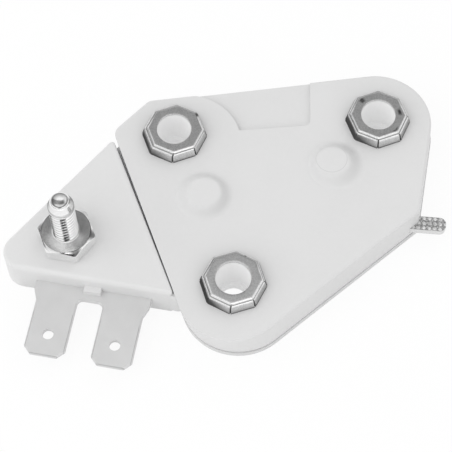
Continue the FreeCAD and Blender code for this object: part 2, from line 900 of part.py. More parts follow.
def make_zener_diode():
    """Small glass diode lying on its side between two metal end caps."""
    start = vector(zener_x - zener_length / 2, zener_y, substrate_top + zener_radius + zener_cap_step)
    glass = Part.makeCylinder(zener_radius, zener_length, start, vector(1, 0, 0))
    cap_radius = zener_radius + zener_cap_step
    near = Part.makeCylinder(cap_radius, zener_cap_length, start, vector(1, 0, 0))
    far_start = start + vector(zener_length - zener_cap_length, 0, 0)
    far = Part.makeCylinder(cap_radius, zener_cap_length, far_start, vector(1, 0, 0))
    return join([glass, near, far])


def make_chip_resistors():
    """A row of small chips, each with a raised metal cap at both ends."""
    top = substrate_top + resistor_height
    middle = resistor_length - 2 * resistor_cap
    chips = []
    for i in range(resistor_count):
        centre = (resistor_x + i * resistor_pitch, resistor_y)
        chip = block(centre, resistor_length, resistor_width, substrate_top, top)
        notch = block(centre, middle, resistor_width, top - resistor_cap_step, top)
        chips.append(chip.cut(notch))
    return Part.makeCompound(chips)


def make_thermistor():
    bead = rod((thermistor_x, thermistor_y), thermistor_radius, substrate_top,
               substrate_top + thermistor_height)
    return bead.makeChamfer(thermistor_bevel, edges_at(bead, substrate_top + thermistor_height))


def make_lead_strap(name):
    """Bent strip from the underside of a cap, down inside its boss, out to the substrate."""
    centre = bores[name]
    turn = strap_turn(name)
    inner = bush_radius + 2 * fit_gap
    upright_at = turned_point(centre, turn, inner + strap_thickness / 2, 0)
    upright = block(upright_at, strap_thickness, strap_width, substrate_top, boss_top, turn)
    end = boss_radius + substrate_boss_gap + strap_landing
    foot_at = turned_point(centre, turn, (inner + end) / 2, 0)
    foot = block(foot_at, end - inner, strap_width, substrate_top, substrate_top + strap_thickness, turn)
    return upright.fuse(foot).removeSplitter()


def main():
    os.makedirs("parts", exist_ok=True)
    save("base_plate", make_base_plate())
    save("rim_seal", make_rim_seal())
    save("housing", make_housing())
    save("terminal_wing", make_terminal_wing())
    for name in bores:
        save("contact_cap_" + name, make_contact_cap(name))
        save("insulating_bush_" + name, make_insulating_bush(name))
        save("lead_strap_" + name, make_lead_strap(name))
    save("twin_blade_terminal", make_twin_blade_terminal())
    save("terminal_stud", make_terminal_stud())
    save("stud_nut", make_stud_nut())
    save("stud_lead", make_stud_lead())
    save("test_tab", make_test_tab())
    save("ceramic_substrate", make_ceramic_substrate())
    save("heat_spreader", make_heat_spreader())
    save("output_transistor", make_output_transistor())
    save("filter_capacitor", make_filter_capacitor())
    save("flyback_diode", make_flyback_diode())
    save("control_chip", make_control_chip())
    save("driver_transistor", make_driver_transistor())
    save("zener_diode", make_zener_diode())
    save("chip_resistors", make_chip_resistors())
    save("thermistor", make_thermistor())


main()
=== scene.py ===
# %% [markdown]
# A voltage regulator for an alternator is a flat pale moulding with three screw bores. Each bore
# has a metal cap, and a triangular wing at the left carries a threaded stud and two flat blades.
# The frame below is the measured part, in metres. This lesson gives it its skins and finishes,
# so the first step loads the frame and notes its box.

# %% Load the measured part
import json
import math
import bmesh
import bpy
import numpy as np
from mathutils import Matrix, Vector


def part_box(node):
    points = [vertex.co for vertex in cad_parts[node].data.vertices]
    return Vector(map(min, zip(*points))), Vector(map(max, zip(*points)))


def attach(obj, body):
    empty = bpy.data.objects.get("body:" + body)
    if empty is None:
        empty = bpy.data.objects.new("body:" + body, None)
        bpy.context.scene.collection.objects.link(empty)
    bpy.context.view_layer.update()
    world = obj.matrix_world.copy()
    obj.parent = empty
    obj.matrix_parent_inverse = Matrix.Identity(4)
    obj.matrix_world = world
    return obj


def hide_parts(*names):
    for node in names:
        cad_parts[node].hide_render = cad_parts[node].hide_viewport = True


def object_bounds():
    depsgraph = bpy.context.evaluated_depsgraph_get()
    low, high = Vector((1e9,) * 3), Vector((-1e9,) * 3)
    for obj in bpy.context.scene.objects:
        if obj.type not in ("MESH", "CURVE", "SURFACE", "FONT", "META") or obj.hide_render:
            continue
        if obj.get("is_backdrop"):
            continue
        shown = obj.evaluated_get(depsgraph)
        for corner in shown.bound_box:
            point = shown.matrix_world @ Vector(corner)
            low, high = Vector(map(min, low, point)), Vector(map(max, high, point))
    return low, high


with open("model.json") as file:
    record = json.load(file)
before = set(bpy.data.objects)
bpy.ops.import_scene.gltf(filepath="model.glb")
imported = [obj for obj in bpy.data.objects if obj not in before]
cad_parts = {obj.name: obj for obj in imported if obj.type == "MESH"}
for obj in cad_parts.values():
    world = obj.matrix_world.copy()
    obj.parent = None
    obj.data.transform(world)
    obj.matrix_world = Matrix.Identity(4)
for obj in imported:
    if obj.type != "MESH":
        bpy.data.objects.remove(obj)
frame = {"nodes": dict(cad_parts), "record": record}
nodes = frame["nodes"]
cad_box = [list(corner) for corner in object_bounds()]
MM = 0.001
print("nodes", len(nodes), "box in mm", [[round(v / MM, 2) for v in corner] for corner in cad_box])

# %% [markdown]
# The camera comes first, because everything is judged through it. The picture was taken with a
# long lens from above the blades, at 62.5 degrees over the top face, and is turned a degree on
# its own axis. A camera is a turn matrix with three columns: right, up and backwards.

# %% Camera
EYE = np.array([0.07, -128.35, 220.85]) * MM
AIM = np.array([7.07, -13.59, 0.0]) * MM
ROLL = math.radians(-1.0)
LENS_MM = 125.53
SENSOR_MM = 36.0


def unit(v):
    """A vector divided by its own length."""
    v = np.asarray(v, float)
    return v / np.linalg.norm(v)


def turn_matrix(eye, aim, roll):
    """Columns right, up and backwards of a view from eye to aim, rolled about the line of sight."""
    forward = unit(aim - eye)
    level = unit(np.cross(forward, (0.0, 0.0, 1.0)))
    over = np.cross(level, forward)
    right = math.cos(roll) * level + math.sin(roll) * over
    matrix = np.eye(4)
    matrix[:3, 0] = right
    matrix[:3, 1] = np.cross(right, forward)
    matrix[:3, 2] = -forward
    matrix[:3, 3] = eye
    return matrix


scene = bpy.context.scene
camera_data = bpy.data.cameras.new("camera")
camera_data.lens = LENS_MM
camera_data.sensor_width = SENSOR_MM
camera_data.clip_start = 0.01
camera = bpy.data.objects.new("camera", camera_data)
scene.collection.objects.link(camera)
camera.matrix_world = [list(row) for row in turn_matrix(EYE, AIM, ROLL).T]
scene.camera = camera
print("camera at", [round(v / MM, 1) for v in EYE], "mm, lens", LENS_MM)

# %% [markdown]
# A material is a small calculation that runs at every point of a surface. Written as node links
# it is hard to read, so one class wraps a socket and lets sums and products of sockets be typed
# as plain arithmetic. Every other node comes from its one method.


# %% Shader arithmetic
class Flow:
    """A socket in a material's tree. Arithmetic on it adds Math nodes."""

    def __init__(self, tree, socket=None):
        self.tree = tree
        self.socket = socket

    def node(self, kind, settings=None, sockets=None, output=0):
        """Add a node: its settings first, then the values or links of its sockets."""
        made = self.tree.nodes.new(kind)
        for key, value in (settings or {}).items():
            setattr(made, key, value)
        for key, value in (sockets or {}).items():
            if isinstance(value, Flow):
                self.tree.links.new(value.socket, made.inputs[key])
            else:
                made.inputs[key].default_value = value
        return Flow(self.tree, made.outputs[output] if len(made.outputs) else None)

    def maths(self, operation, *values):
        """A Math node over the given values."""
        return self.node("ShaderNodeMath", {"operation": operation}, dict(enumerate(values)))

    def __add__(self, other):
        return self.maths("ADD", self, other)

    def __mul__(self, other):
        return self.maths("MULTIPLY", self, other)

    def __sub__(self, other):
        return self.maths("SUBTRACT", self, other)

    def __rsub__(self, other):
        return self.maths("SUBTRACT", other, self)

    def step(self, low, high):
        """0 below low, 1 above high and a smooth rise between them."""
        settings = {"interpolation_type": "SMOOTHSTEP"}
        return self.node("ShaderNodeMapRange", settings, {0: self, 1: low, 2: high})

    def grey(self, low, high):
        """Mix two greys, self giving the share of the second."""
        sockets = {0: self, 6: (low, low, low, 1.0), 7: (high, high, high, 1.0)}
        return self.node("ShaderNodeMix", {"data_type": "RGBA"}, sockets, 2)

    def tint(self, low, high):
        """Mix two colours, self giving the share of the second."""
        sockets = {0: self, 6: (*low, 1.0), 7: (*high, 1.0)}
        return self.node("ShaderNodeMix", {"data_type": "RGBA"}, sockets, 2)


def begin(name):
    """A new material and the flow of its object coordinates, in metres."""
    material = bpy.data.materials.new(name)
    material.use_nodes = True
    material.node_tree.nodes.clear()
    flow = Flow(material.node_tree)
    return material, flow, flow.node("ShaderNodeTexCoord", output=3)


def noise(flow, place, features_mm, detail=2.0, stretch=None):
    """Soft random grain with features of a given size, from 0 to 1."""
    if stretch:
        place = flow.node("ShaderNodeMapping", None, {0: place, 3: stretch})
    return flow.node("ShaderNodeTexNoise", None, {"Vector": place, "Scale": 1.0 / (features_mm * MM),
                                                  "Detail": detail, "Roughness": 0.55})


def end(material, flow, sockets, bump, height_mm):
    """Close a material with one principled shader whose surface is raised by the bump."""
    sockets["Normal"] = flow.node("ShaderNodeBump", None, {"Height": bump, "Strength": 1.0,
                                                           "Distance": height_mm * MM})
    shader = flow.node("ShaderNodeBsdfPrincipled", None, sockets)
    flow.node("ShaderNodeOutputMaterial", None, {"Surface": shader})
    return material


print("shader arithmetic ready")

# %% [markdown]
# Light in a product picture is broad and even. Most of it is the white room itself. A soft key
# lamp at the left leaves the faint shade on the right of the domes. A weak fill stands at the
# right behind, and a third lamp, low in front, lifts the side wall that faces the camera. All
# three stay out of mirror images, because polished metal would show them as hard patches.

# %% Lamps
scene.view_settings.view_transform = "Standard"
LOOK_AT = np.array([5.0, -13.0, 0.0]) * MM
KEY_WATTS = 0.6
FILL_WATTS = 0.12
FRONT_WATTS = 0.14


def soft_lamp(name, place_mm, size_mm, watts):
    """A square lamp that faces the part and stays out of its mirror images."""
    data = bpy.data.lights.new(name, "AREA")
    data.shape = "SQUARE"
    data.size = size_mm * MM
    data.energy = watts
    lamp = bpy.data.objects.new(name, data)
    scene.collection.objects.link(lamp)
    lamp.matrix_world = [list(row) for row in turn_matrix(np.array(place_mm) * MM, LOOK_AT, 0.0).T]
    lamp.visible_glossy = False


soft_lamp("key_lamp", (-300.0, -110.0, 290.0), 450.0, KEY_WATTS)
soft_lamp("fill_lamp", (160.0, 240.0, 280.0), 300.0, FILL_WATTS)
soft_lamp("front_lamp", (190.0, -330.0, 110.0), 300.0, FRONT_WATTS)
print("lamps", KEY_WATTS, FILL_WATTS, FRONT_WATTS, "watts")

# %% [markdown]
# Polished metal shows the room, and an all white room would leave it without form. So four
# cards stand where only mirror rays can see them. The flat cap tops look into a grey one over
# the back. A darker one low at the left shades what faces it. A nearly black one low in front
# draws the dark bars down the middle of the thread, and a bright one behind the camera lights
# the bevels that face it.


# %% Cards for the metal to mirror
def mirror_card(name, place_mm, width_mm, height_mm, level):
    """A card that faces the part, glows at a plain level and is seen by mirror rays only."""
    turn = turn_matrix(np.array(place_mm) * MM, LOOK_AT, 0.0)
    corners = [turn[:3, 3] + MM / 2 * (a * width_mm * turn[:3, 0] + b * height_mm * turn[:3, 1])
               for a, b in ((-1, -1), (1, -1), (1, 1), (-1, 1))]
    mesh = bpy.data.meshes.new(name)
    mesh.from_pydata([tuple(corner) for corner in corners], [], [(0, 1, 2, 3)])
    card = bpy.data.objects.new(name, mesh)
    scene.collection.objects.link(card)
    material, flow, place = begin(name)
    uneven = noise(flow, place, 120.0)
    shader = flow.node("ShaderNodeEmission", None, {"Color": uneven.grey(level * 0.9, level * 1.1)})
    flow.node("ShaderNodeOutputMaterial", None, {"Surface": shader})
    mesh.materials.append(material)
    card.visible_camera = card.visible_diffuse = card.visible_shadow = False
    card.visible_transmission = card.visible_volume_scatter = False
    card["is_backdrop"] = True


mirror_card("back_card", (40.0, 200.0, 320.0), 520.0, 200.0, 0.3)
mirror_card("left_card", (-330.0, 60.0, 110.0), 220.0, 200.0, 0.1)
mirror_card("front_card", (-48.0, -330.0, 165.0), 220.0, 300.0, 0.02)
mirror_card("bright_card", (20.0, -330.0, 560.0), 500.0, 260.0, 2.2)
print("cards", [name for name in bpy.data.meshes.keys() if name.endswith("card")])

# %% [markdown]
# The background has to be pure white, while the light on the part keeps its own level. So the
# room is white to rays from the camera, off mirrors and through glass, and a little darker to
# the rays that light the matt surfaces.

# %% The white room
WORLD_LIGHT = 0.815


def seen_directly(flow):
    """1 for rays from the camera, off mirrors and through glass, and 0 for the rest."""
    path = flow.node("ShaderNodeLightPath").socket.node
    rays = [Flow(flow.tree, path.outputs[name])
            for name in ("Is Camera Ray", "Is Glossy Ray", "Is Transmission Ray")]
    return flow.maths("MAXIMUM", flow.maths("MAXIMUM", rays[0], rays[1]), rays[2])


world = bpy.data.worlds.new("studio")
scene.world = world
world.use_nodes = True
world.node_tree.nodes.clear()
room = Flow(world.node_tree)
light = room.node("ShaderNodeBackground", None, {"Strength": WORLD_LIGHT})
white = room.node("ShaderNodeBackground", None, {"Strength": 1.0})
for backdrop in (light, white):
    backdrop.socket.node.inputs["Color"].default_value = (1.0, 1.0, 1.0, 1.0)
both = room.node("ShaderNodeMixShader", None, {0: seen_directly(room), 1: light, 2: white})
room.node("ShaderNodeOutputWorld", None, {"Surface": both})
print("room light", WORLD_LIGHT)

# %% [markdown]
# The housing's two domes give room to tall parts of the circuit. A thin line from the tool
# rings the right one's top, and painted shade darkens both slopes, more on their right. Both
# come from the distance to a middle, in plan: the line where it is near the ring's radius, the
# painted shade where it lies on the slope, weighted by how far to the right the point is.

# %% Tool line and painted shade on the domes
RING_AT_MM = (24.15, -7.0)
RING_RADIUS_MM = 2.42
RING_HALF_WIDTH_MM = 0.09
DOMES_AT_MM = [(3.85, -11.2), (24.4, -7.4)]
# distances from a dome's middle over which its painted shade grows and then fades
SHADE_GROWS_MM = (2.1, 3.1)
SHADE_FADES_MM = (3.5, 4.8)
DOME_SHADE = 0.36


def reach_from(flow, place, centre_mm):
    """Distance in plan from a point of the top face, and how far to its right, from -1 to 1."""
    away = flow.node("ShaderNodeVectorMath", {"operation": "MULTIPLY_ADD"}, {
        0: place, 1: (1.0, 1.0, 0.0), 2: (-centre_mm[0] * MM, -centre_mm[1] * MM, 0.0)})
    reach = flow.node("ShaderNodeVectorMath", {"operation": "LENGTH"}, {0: away}, 1)
    aside = flow.node("ShaderNodeSeparateXYZ", None, {0: away})
    return reach, flow.maths("DIVIDE", aside, reach)


def dome_line_and_painted_shade(flow, place):
    """1 on the thin tool line round the right dome's top, and less painted shade on both slopes."""
    off = flow.maths("ABSOLUTE", reach_from(flow, place, RING_AT_MM)[0] - RING_RADIUS_MM * MM)
    darkening = 1.0 - off.step(0.0, RING_HALF_WIDTH_MM * MM)
    for centre in DOMES_AT_MM:
        reach, aside = reach_from(flow, place, centre)
        grown = reach.step(SHADE_GROWS_MM[0] * MM, SHADE_GROWS_MM[1] * MM)
        faded = reach.step(SHADE_FADES_MM[0] * MM, SHADE_FADES_MM[1] * MM)
        # painted shade on the slope, a little stronger on its right side
        shade = grown * (1.0 - faded) * (aside * 0.6 + 0.9) * DOME_SHADE
        darkening = flow.maths("MAXIMUM", darkening, shade)
    return darkening


print("marks on", len(DOMES_AT_MM), "domes")

# %% [markdown]
# The housing and the wing are thermoset mouldings: nearly white, satin, with a very fine grain
# from the tool and slow clouds where the resin flowed. The clouds are large soft noise between
# two close greys, and the grain is a bump of a few microns. A bush is a thin white wall, so
# light comes through it from behind, and a faint painted glow stands for that light.

# %% Moulded plastic
DOME_LINE_AND_SHADE_DEPTH = 0.16


def moulded(name, dark, light, rough, glow=0.0, darkening=None):
    """Satin moulding: slow clouds between two greys, fine grain and a slightly uneven gloss."""
    material, flow, place = begin(name)
    clouds = noise(flow, place, 14.0, 3.0)
    flecks = noise(flow, place, 0.7, 2.0)
    share = clouds * 0.75 + flecks * 0.25
    grain = noise(flow, place, 0.09, 1.0) * 0.6 + noise(flow, place, 1.6, 2.0) * 0.4
    tone = share.step(0.3, 0.7) * (light - dark) + dark
    if darkening:
        # the darkening, where given, is the domes' tool line and their painted shade
        tone = tone * (1.0 - darkening(flow, place) * DOME_LINE_AND_SHADE_DEPTH)
    return end(material, flow, {"Base Color": tone.grey(0.0, 1.0),
                                "Roughness": flecks * 0.1 + (rough - 0.05),
                                "Emission Color": share.grey(dark, light),
                                "Emission Strength": glow,
                                "Specular IOR Level": 0.35}, grain, 0.0015)


finishes = {
    "body_plastic": moulded("body_plastic", 0.70, 0.725, 0.5, darkening=dome_line_and_painted_shade),
    "wing_plastic": moulded("wing_plastic", 0.72, 0.745, 0.5),
    # painted light: the bushes glow faintly, which lightens the bores
    "bush_plastic": moulded("bush_plastic", 0.66, 0.69, 0.35, glow=0.29),
    "back_plate": moulded("back_plate", 0.66, 0.69, 0.55),
}
print("mouldings", sorted(finishes))

# %% [markdown]
# The blades are stamped and their edges coined, which leaves a thin pressed line just inside
# each outline. Both blades point the same way. One coordinate runs out along them and one
# across, so a line is where the first is near the tip or the second is near a blade's side.

# %% Pressed lines on the blades
BLADE_TURN_DEGREES = -105.0
BLADE_MIDDLES_MM = (-12.28, -2.0)
LINE_TIP_MM = 39.18
LINE_SIDE_MM = 2.97
LINE_HALF_WIDTH_MM = 0.1
# distances out over which the side lines begin
LINE_BEGINS_MM = (31.5, 32.5)


def coined_edges(flow, place):
    """1 on a thin line inside each blade's two sides and its tip, where the die pressed the edge."""
    turn = math.radians(BLADE_TURN_DEGREES)
    out = flow.node("ShaderNodeVectorMath", {"operation": "DOT_PRODUCT"}, {
        0: place, 1: (math.cos(turn), math.sin(turn), 0.0)}, 1)
    along = flow.node("ShaderNodeVectorMath", {"operation": "DOT_PRODUCT"}, {
        0: place, 1: (-math.sin(turn), math.cos(turn), 0.0)}, 1)
    middle = sum(BLADE_MIDDLES_MM) / 2 * MM
    spread = (BLADE_MIDDLES_MM[1] - BLADE_MIDDLES_MM[0]) / 2 * MM
    side = flow.maths("ABSOLUTE", flow.maths("ABSOLUTE", along - middle) - spread)
    half = LINE_HALF_WIDTH_MM * MM
    beside = 1.0 - flow.maths("ABSOLUTE", side - LINE_SIDE_MM * MM).step(0.0, half)
    beyond = 1.0 - flow.maths("ABSOLUTE", out - LINE_TIP_MM * MM).step(0.0, half)
    begun = out.step(LINE_BEGINS_MM[0] * MM, LINE_BEGINS_MM[1] * MM)
    return flow.maths("MAXIMUM", beside * begun, beyond)


print("lines", LINE_SIDE_MM, "mm from each blade's middle")

# %% [markdown]
# The bright parts are plated steel. A cap is stamped from satin strip, so its top is an even
# mid grey with a rolling grain, and its bends are burnished bright. The stud and nut are bright
# zinc, and the blades are tinned. All are metallic shaders; what differs is how rough they are
# and how their grain runs. Dark stains and painted shade come from an attribute that a piece
# may carry. The value called edge is the metal's tint where it is seen at a grazing angle, which
# greys steep sides.

# %% Plated metals
STAIN_AND_SHADE_DEPTH = 0.85
LINE_DEPTH = 0.3


def plated(name, dark, light, rough, spread=0.08, streak=None, grain_mm=0.12, metallic=1.0,
           speckle=0.5, darkening=None, edge=1.0):
    """Metal: clouds between two greys, a grain that may be stretched, stains and painted shade."""
    material, flow, place = begin(name)
    clouds = noise(flow, place, 2.5, 3.0)
    grain = noise(flow, place, grain_mm, 2.0, streak)
    share = clouds * (1.0 - speckle) + grain * speckle
    clean = share.step(0.3, 0.7) * (light - dark) + dark
    # the attribute holds a few real marks and, mostly, painted shade
    stain_and_shade = flow.node("ShaderNodeAttribute", {"attribute_name": "stain_and_shade"}, None, 2)
    tone = clean * (1.0 - stain_and_shade * STAIN_AND_SHADE_DEPTH)
    if darkening:
        tone = tone * (1.0 - darkening(flow, place) * LINE_DEPTH)
    return end(material, flow, {"Base Color": tone.grey(0.0, 1.0),
                                "Metallic": metallic,
                                "Specular Tint": (edge, edge, edge, 1.0),
                                "Roughness": grain * spread + (rough - spread / 2)}, grain, 0.0008)


finishes["cap_steel"] = plated("cap_steel", 0.68, 0.88, 0.3, grain_mm=0.22, speckle=0.8, edge=0.45)
finishes["stud_steel"] = plated("stud_steel", 0.84, 0.94, 0.16, edge=0.35)
finishes["nut_steel"] = plated("nut_steel", 0.82, 1.0, 0.22, grain_mm=0.2, speckle=0.8)
finishes["blade_metal"] = plated("blade_metal", 0.65, 0.69, 0.5, spread=0.1, streak=(1.0, 6.0, 1.0),
                                 metallic=0.4, darkening=coined_edges)
print("metals", [name for name in finishes if name.endswith(("steel", "metal"))])

# %% [markdown]
# The test tab carries three rows of small raised dots, so that a probe bites. The dots are
# light and the metal between them is dark. The dots and the dark share one grid, turned with the
# tab: the distance to the nearest grid point is small on a dot and large between dots. Where the
# tin is worn, the dots are dull too, so slow noise greys some of them.

# %% Dotted tab metal
TAB_START_MM = (36.95, -17.0)
TAB_TURN_DEGREES = -10.0
# the dark lies on the top only, which begins between these heights
DARK_TOP_BEGINS_MM = (2.93, 2.97)
DOT_PITCH_MM = 0.84
DOT_RADIUS_MM = 0.28


def dotted_metal(name):
    """Tinned metal that is light on the grid of dots and mottled dark between them."""
    material, flow, place = begin(name)
    turned = flow.node("ShaderNodeMapping", {"vector_type": "TEXTURE"}, {
        0: place, 1: (TAB_START_MM[0] * MM, TAB_START_MM[1] * MM, 0.0),
        2: (0.0, 0.0, math.radians(TAB_TURN_DEGREES)), 3: (DOT_PITCH_MM * MM, DOT_PITCH_MM * MM, 1.0)})
    grid = flow.node("ShaderNodeTexVoronoi", {"voronoi_dimensions": "2D"},
                     {"Vector": turned, "Scale": 1.0, "Randomness": 0.0})
    between = (grid * DOT_PITCH_MM).step(DOT_RADIUS_MM * 0.7, DOT_RADIUS_MM * 1.25)
    worn = noise(flow, place, 1.0, 1.0).step(0.46, 0.6) * 0.6
    height = flow.node("ShaderNodeSeparateXYZ", None, {0: place}, 2)
    top = height.step(DARK_TOP_BEGINS_MM[0] * MM, DARK_TOP_BEGINS_MM[1] * MM)
    mottle = noise(flow, place, 0.3, 3.0)
    dark = flow.maths("MAXIMUM", between, worn) * top * mottle.step(0.25, 0.6)
    tone = dark * -0.5 + 0.72
    return end(material, flow, {"Base Color": tone.grey(0.0, 1.0), "Metallic": 0.3,
                                "Roughness": mottle * 0.1 + 0.4}, mottle, 0.004)


finishes["tab_metal"] = dotted_metal("tab_metal")
print("dots", DOT_PITCH_MM, "mm apart")

# %% [markdown]
# The pieces inside are closed in, but each still has its own finish: fired ceramic, black
# moulded packages, a drawn can, brass strips and glass beads. They share one short recipe with
# two colours, because nobody sees more than a glimpse of them. The adhesive has it too, in the
# rim and where it fills the gap.


# %% Finishes inside
def inside(name, first, second, rough, metallic):
    """A plain inner finish: two close colours in soft clouds and a faint grain."""
    material, flow, place = begin(name)
    clouds = noise(flow, place, 0.8, 3.0)
    return end(material, flow, {"Base Color": clouds.tint(first, second), "Metallic": metallic,
                                "Roughness": clouds * 0.1 + rough}, clouds, 0.002)


inner_colours = {
    "seal": ((0.74, 0.74, 0.74), (0.84, 0.84, 0.84), 0.6, 0.0),
    "inner_brass": ((0.62, 0.45, 0.2), (0.74, 0.57, 0.3), 0.3, 1.0),
    "substrate": ((0.78, 0.78, 0.74), (0.86, 0.86, 0.82), 0.6, 0.0),
    "spreader": ((0.52, 0.52, 0.52), (0.62, 0.62, 0.62), 0.4, 1.0),
    "package": ((0.03, 0.03, 0.03), (0.05, 0.05, 0.05), 0.5, 0.0),
    "can": ((0.66, 0.66, 0.68), (0.74, 0.74, 0.76), 0.25, 1.0),
    "glass_bead": ((0.42, 0.2, 0.12), (0.55, 0.3, 0.18), 0.1, 0.0),
    "chip_body": ((0.1, 0.1, 0.11), (0.18, 0.18, 0.19), 0.5, 0.0),
    "thermistor_bead": ((0.06, 0.2, 0.11), (0.1, 0.28, 0.16), 0.3, 0.0),
}
for name, (first, second, rough, metallic) in inner_colours.items():
    finishes[name] = inside(name, first, second, rough, metallic)
slot_of = {part["node"]: part["material_slot"] for part in frame["record"]["subparts"]}
for name, node in nodes.items():
    node.data.materials.clear()
    node.data.materials.append(finishes[slot_of[name]])
print("finished nodes", len(nodes))

# %% [markdown]
# The frame's meshes are loose flat triangles, so a round corner shows its facets. The moulded
# pieces, the plate, the blades and the tab already have the right form, and each gets a skin: a
# copy with its points joined and its shading smoothed wherever two faces meet at a small angle.
# Weighting the normals by area keeps the big flat faces flat.

# %% Smooth skins
JOIN_MM = 0.0005
SMOOTH_DEGREES = 32.0


def joined(mesh, sharp_degrees, outwards=False):
    """Join points that lie together and smooth the faces, up to an angle and to open edges."""
    mesh.shade_smooth()
    work = bmesh.new()
    work.from_mesh(mesh)
    bmesh.ops.remove_doubles(work, verts=work.verts, dist=JOIN_MM * MM)
    if outwards:
        bmesh.ops.recalc_face_normals(work, faces=work.faces)
    limit = math.radians(sharp_degrees)
    for edge in work.edges:
        edge.smooth = len(edge.link_faces) == 2 and edge.calc_face_angle() < limit
    work.to_mesh(mesh)
    work.free()


def settle(name, mesh, node_name=None, slot=None):
    """Make a piece that rides on the body, stands for its node if it has one, and has its slot."""
    piece = bpy.data.objects.new(name, mesh)
    scene.collection.objects.link(piece)
    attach(piece, "root")
    if node_name:
        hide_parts(node_name)
    slot = slot or slot_of[node_name]
    if not mesh.materials:
        mesh.materials.append(finishes[slot])
    print(name, len(mesh.polygons), "faces")
    return piece


skins = {
    "housing": "housing_skin",
    "terminal_wing": "wing_skin",
    "base_plate": "back_plate_skin",
    "rim_seal": "seal_skin",
    "insulating_bush_left": "left_bush_skin",
    "insulating_bush_right": "right_bush_skin",
    "insulating_bush_front": "front_bush_skin",
    "twin_blade_terminal": "blade_skin",
    "test_tab": "tab_skin",
}
for node_name, piece_name in skins.items():
    skin_mesh = nodes[node_name].data.copy()
    skin_mesh.name = piece_name
    joined(skin_mesh, SMOOTH_DEGREES)
    weighted = settle(piece_name, skin_mesh, node_name).modifiers.new("weighted", "WEIGHTED_NORMAL")
    weighted.keep_sharp = True

# %% [markdown]
# New pieces are surfaces of two parameters. One runs round an axis and the other along a
# profile, so the whole piece is one grid of points. The helper joins the grid into faces and
# welds its seam and poles. A regular polygon is also a radius that depends on the angle, so the
# caps, the nut and the stud's head can be such surfaces too.


# %% A grid of points becomes a piece
def grid_piece(name, points, node_name, sharp_degrees, stain_and_shade=0.0, slot=None, poles=False):
    """Quads over a grid (rows, columns, 3) in mm, or several such grids, as one closed piece.

    The columns close on themselves, and so do the rows unless they run from pole to pole. Stain
    and painted shade together are a share from 0 to 1 at each point, which the metal reads as an
    attribute.
    """
    index = np.arange(points.size // 3).reshape(points.shape[:-1])
    right = np.roll(index, -1, -1)
    above = np.roll(index, -1, -2)
    quads = np.stack([index, right, np.roll(right, -1, -2), above], -1)
    if poles:
        quads = quads[..., :-1, :, :]
    mesh = bpy.data.meshes.new(name)
    mesh.from_pydata((points.reshape(-1, 3) * MM).tolist(), [], quads.reshape(-1, 4).tolist())
    shares = np.clip(stain_and_shade + 0 * points[..., 0], 0.0, 1.0).astype(np.float32)
    mesh.attributes.new("stain_and_shade", "FLOAT", "POINT").data.foreach_set("value", shares.ravel())
    joined(mesh, sharp_degrees, outwards=True)
    settle(name, mesh, node_name, slot)


def polygon_reach(angle, corners, turn, corner_radius, soft):
    """Distance from the centre to a regular polygon's side, its corners cut back by soft."""
    step = 2 * math.pi / corners
    across = (angle - turn) % step - step / 2
    flat = corner_radius * math.cos(step / 2) / np.cos(across)
    limit = corner_radius - soft
    return np.minimum(flat, limit + (flat - limit) * 0.25)


def swing_from(degrees, direction):
    """Turn from a direction to others, from -180 to 180 degrees."""
    return (degrees - direction + 180.0) % 360.0 - 180.0


def node_centre(node_name):
    """Middle of a node's box in mm."""
    low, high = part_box(node_name)
    return np.array(low + high) / 2 / MM


print("points closer than", JOIN_MM, "mm are joined")

# %% [markdown]
# The same adhesive that bonds the plate has squeezed into the gap between the body and the wing,
# so no light comes up through it. The bead is a tube with a flat oval section along the gap. It
# lies a little lower towards the front and stands highest at its open back end.

# %% Adhesive bead in the gap
GAP_NORMAL_DEGREES = -164.85
BEAD_OUT_MM = 8.78
BEAD_HALF_WIDTH_MM = 0.62
BEAD_FOOT_MM = 0.15
BEAD_TOP_MM = 3.5
BEAD_SLOPE_MM = 1.3
BEAD_END_TOP_MM = 5.0
BEAD_END_LENGTH_MM = 2.4
BEAD_SPAN_MM = (-2.2, 25.7)


def gap_points(across, along, z):
    """Points from a height and distances across and along the gap, from the left bore's axis."""
    normal = math.radians(GAP_NORMAL_DEGREES)
    x = across * math.cos(normal) - along * math.sin(normal)
    y = across * math.sin(normal) + along * math.cos(normal)
    return np.stack([x, y, z + 0 * x], -1)


def bead_surface():
    """An oval section swept along the gap, taller at its open end; both ends draw in to a point."""
    along = np.linspace(*BEAD_SPAN_MM, 60)[:, None]
    turn = np.linspace(0, 2 * math.pi, 24, endpoint=False)[None, :]
    ends = np.minimum(along - BEAD_SPAN_MM[0], BEAD_SPAN_MM[1] - along)
    plump = np.sqrt(np.clip(ends / 0.4, 0.0, 1.0))
    across = BEAD_OUT_MM + BEAD_HALF_WIDTH_MM * plump * np.cos(turn)
    rise = np.clip(1.0 - (along - BEAD_SPAN_MM[0]) / BEAD_END_LENGTH_MM, 0.0, 1.0)
    top = BEAD_TOP_MM + BEAD_SLOPE_MM * (1.0 - along / BEAD_SPAN_MM[1])
    top = top + (BEAD_END_TOP_MM - top) * rise
    middle, half = (top + BEAD_FOOT_MM) / 2, (top - BEAD_FOOT_MM) / 2
    return gap_points(across, along, middle + half * plump * np.sin(turn))


grid_piece("gap_bead", bead_surface(), None, 60.0, slot="seal", poles=True)

# %% [markdown]
# At its front end the gap is closed by a small web of the wing's own plastic, so that no notch
# shows in the front edge. It is a five-sided post. Its front leans back above the height at which
# the wing's front edge begins to, and it draws in almost to a point at both ends.

# %% Web across the gap's front end
WEB_CORNERS_MM = [(8.5, 25.6), (9.75, 25.6), (9.7, 26.0), (8.9, 26.62), (8.3, 26.85)]
WEB_HEIGHTS_MM = [0.6, 0.65, 3.0, 4.4, 4.8, 5.2, 5.3]
WEB_WIDTHS = [0.02, 1.0, 1.0, 1.0, 1.0, 1.0, 0.02]
WEB_LEANS_FROM_MM = 4.4
WEB_FRONT_MM = 25.9


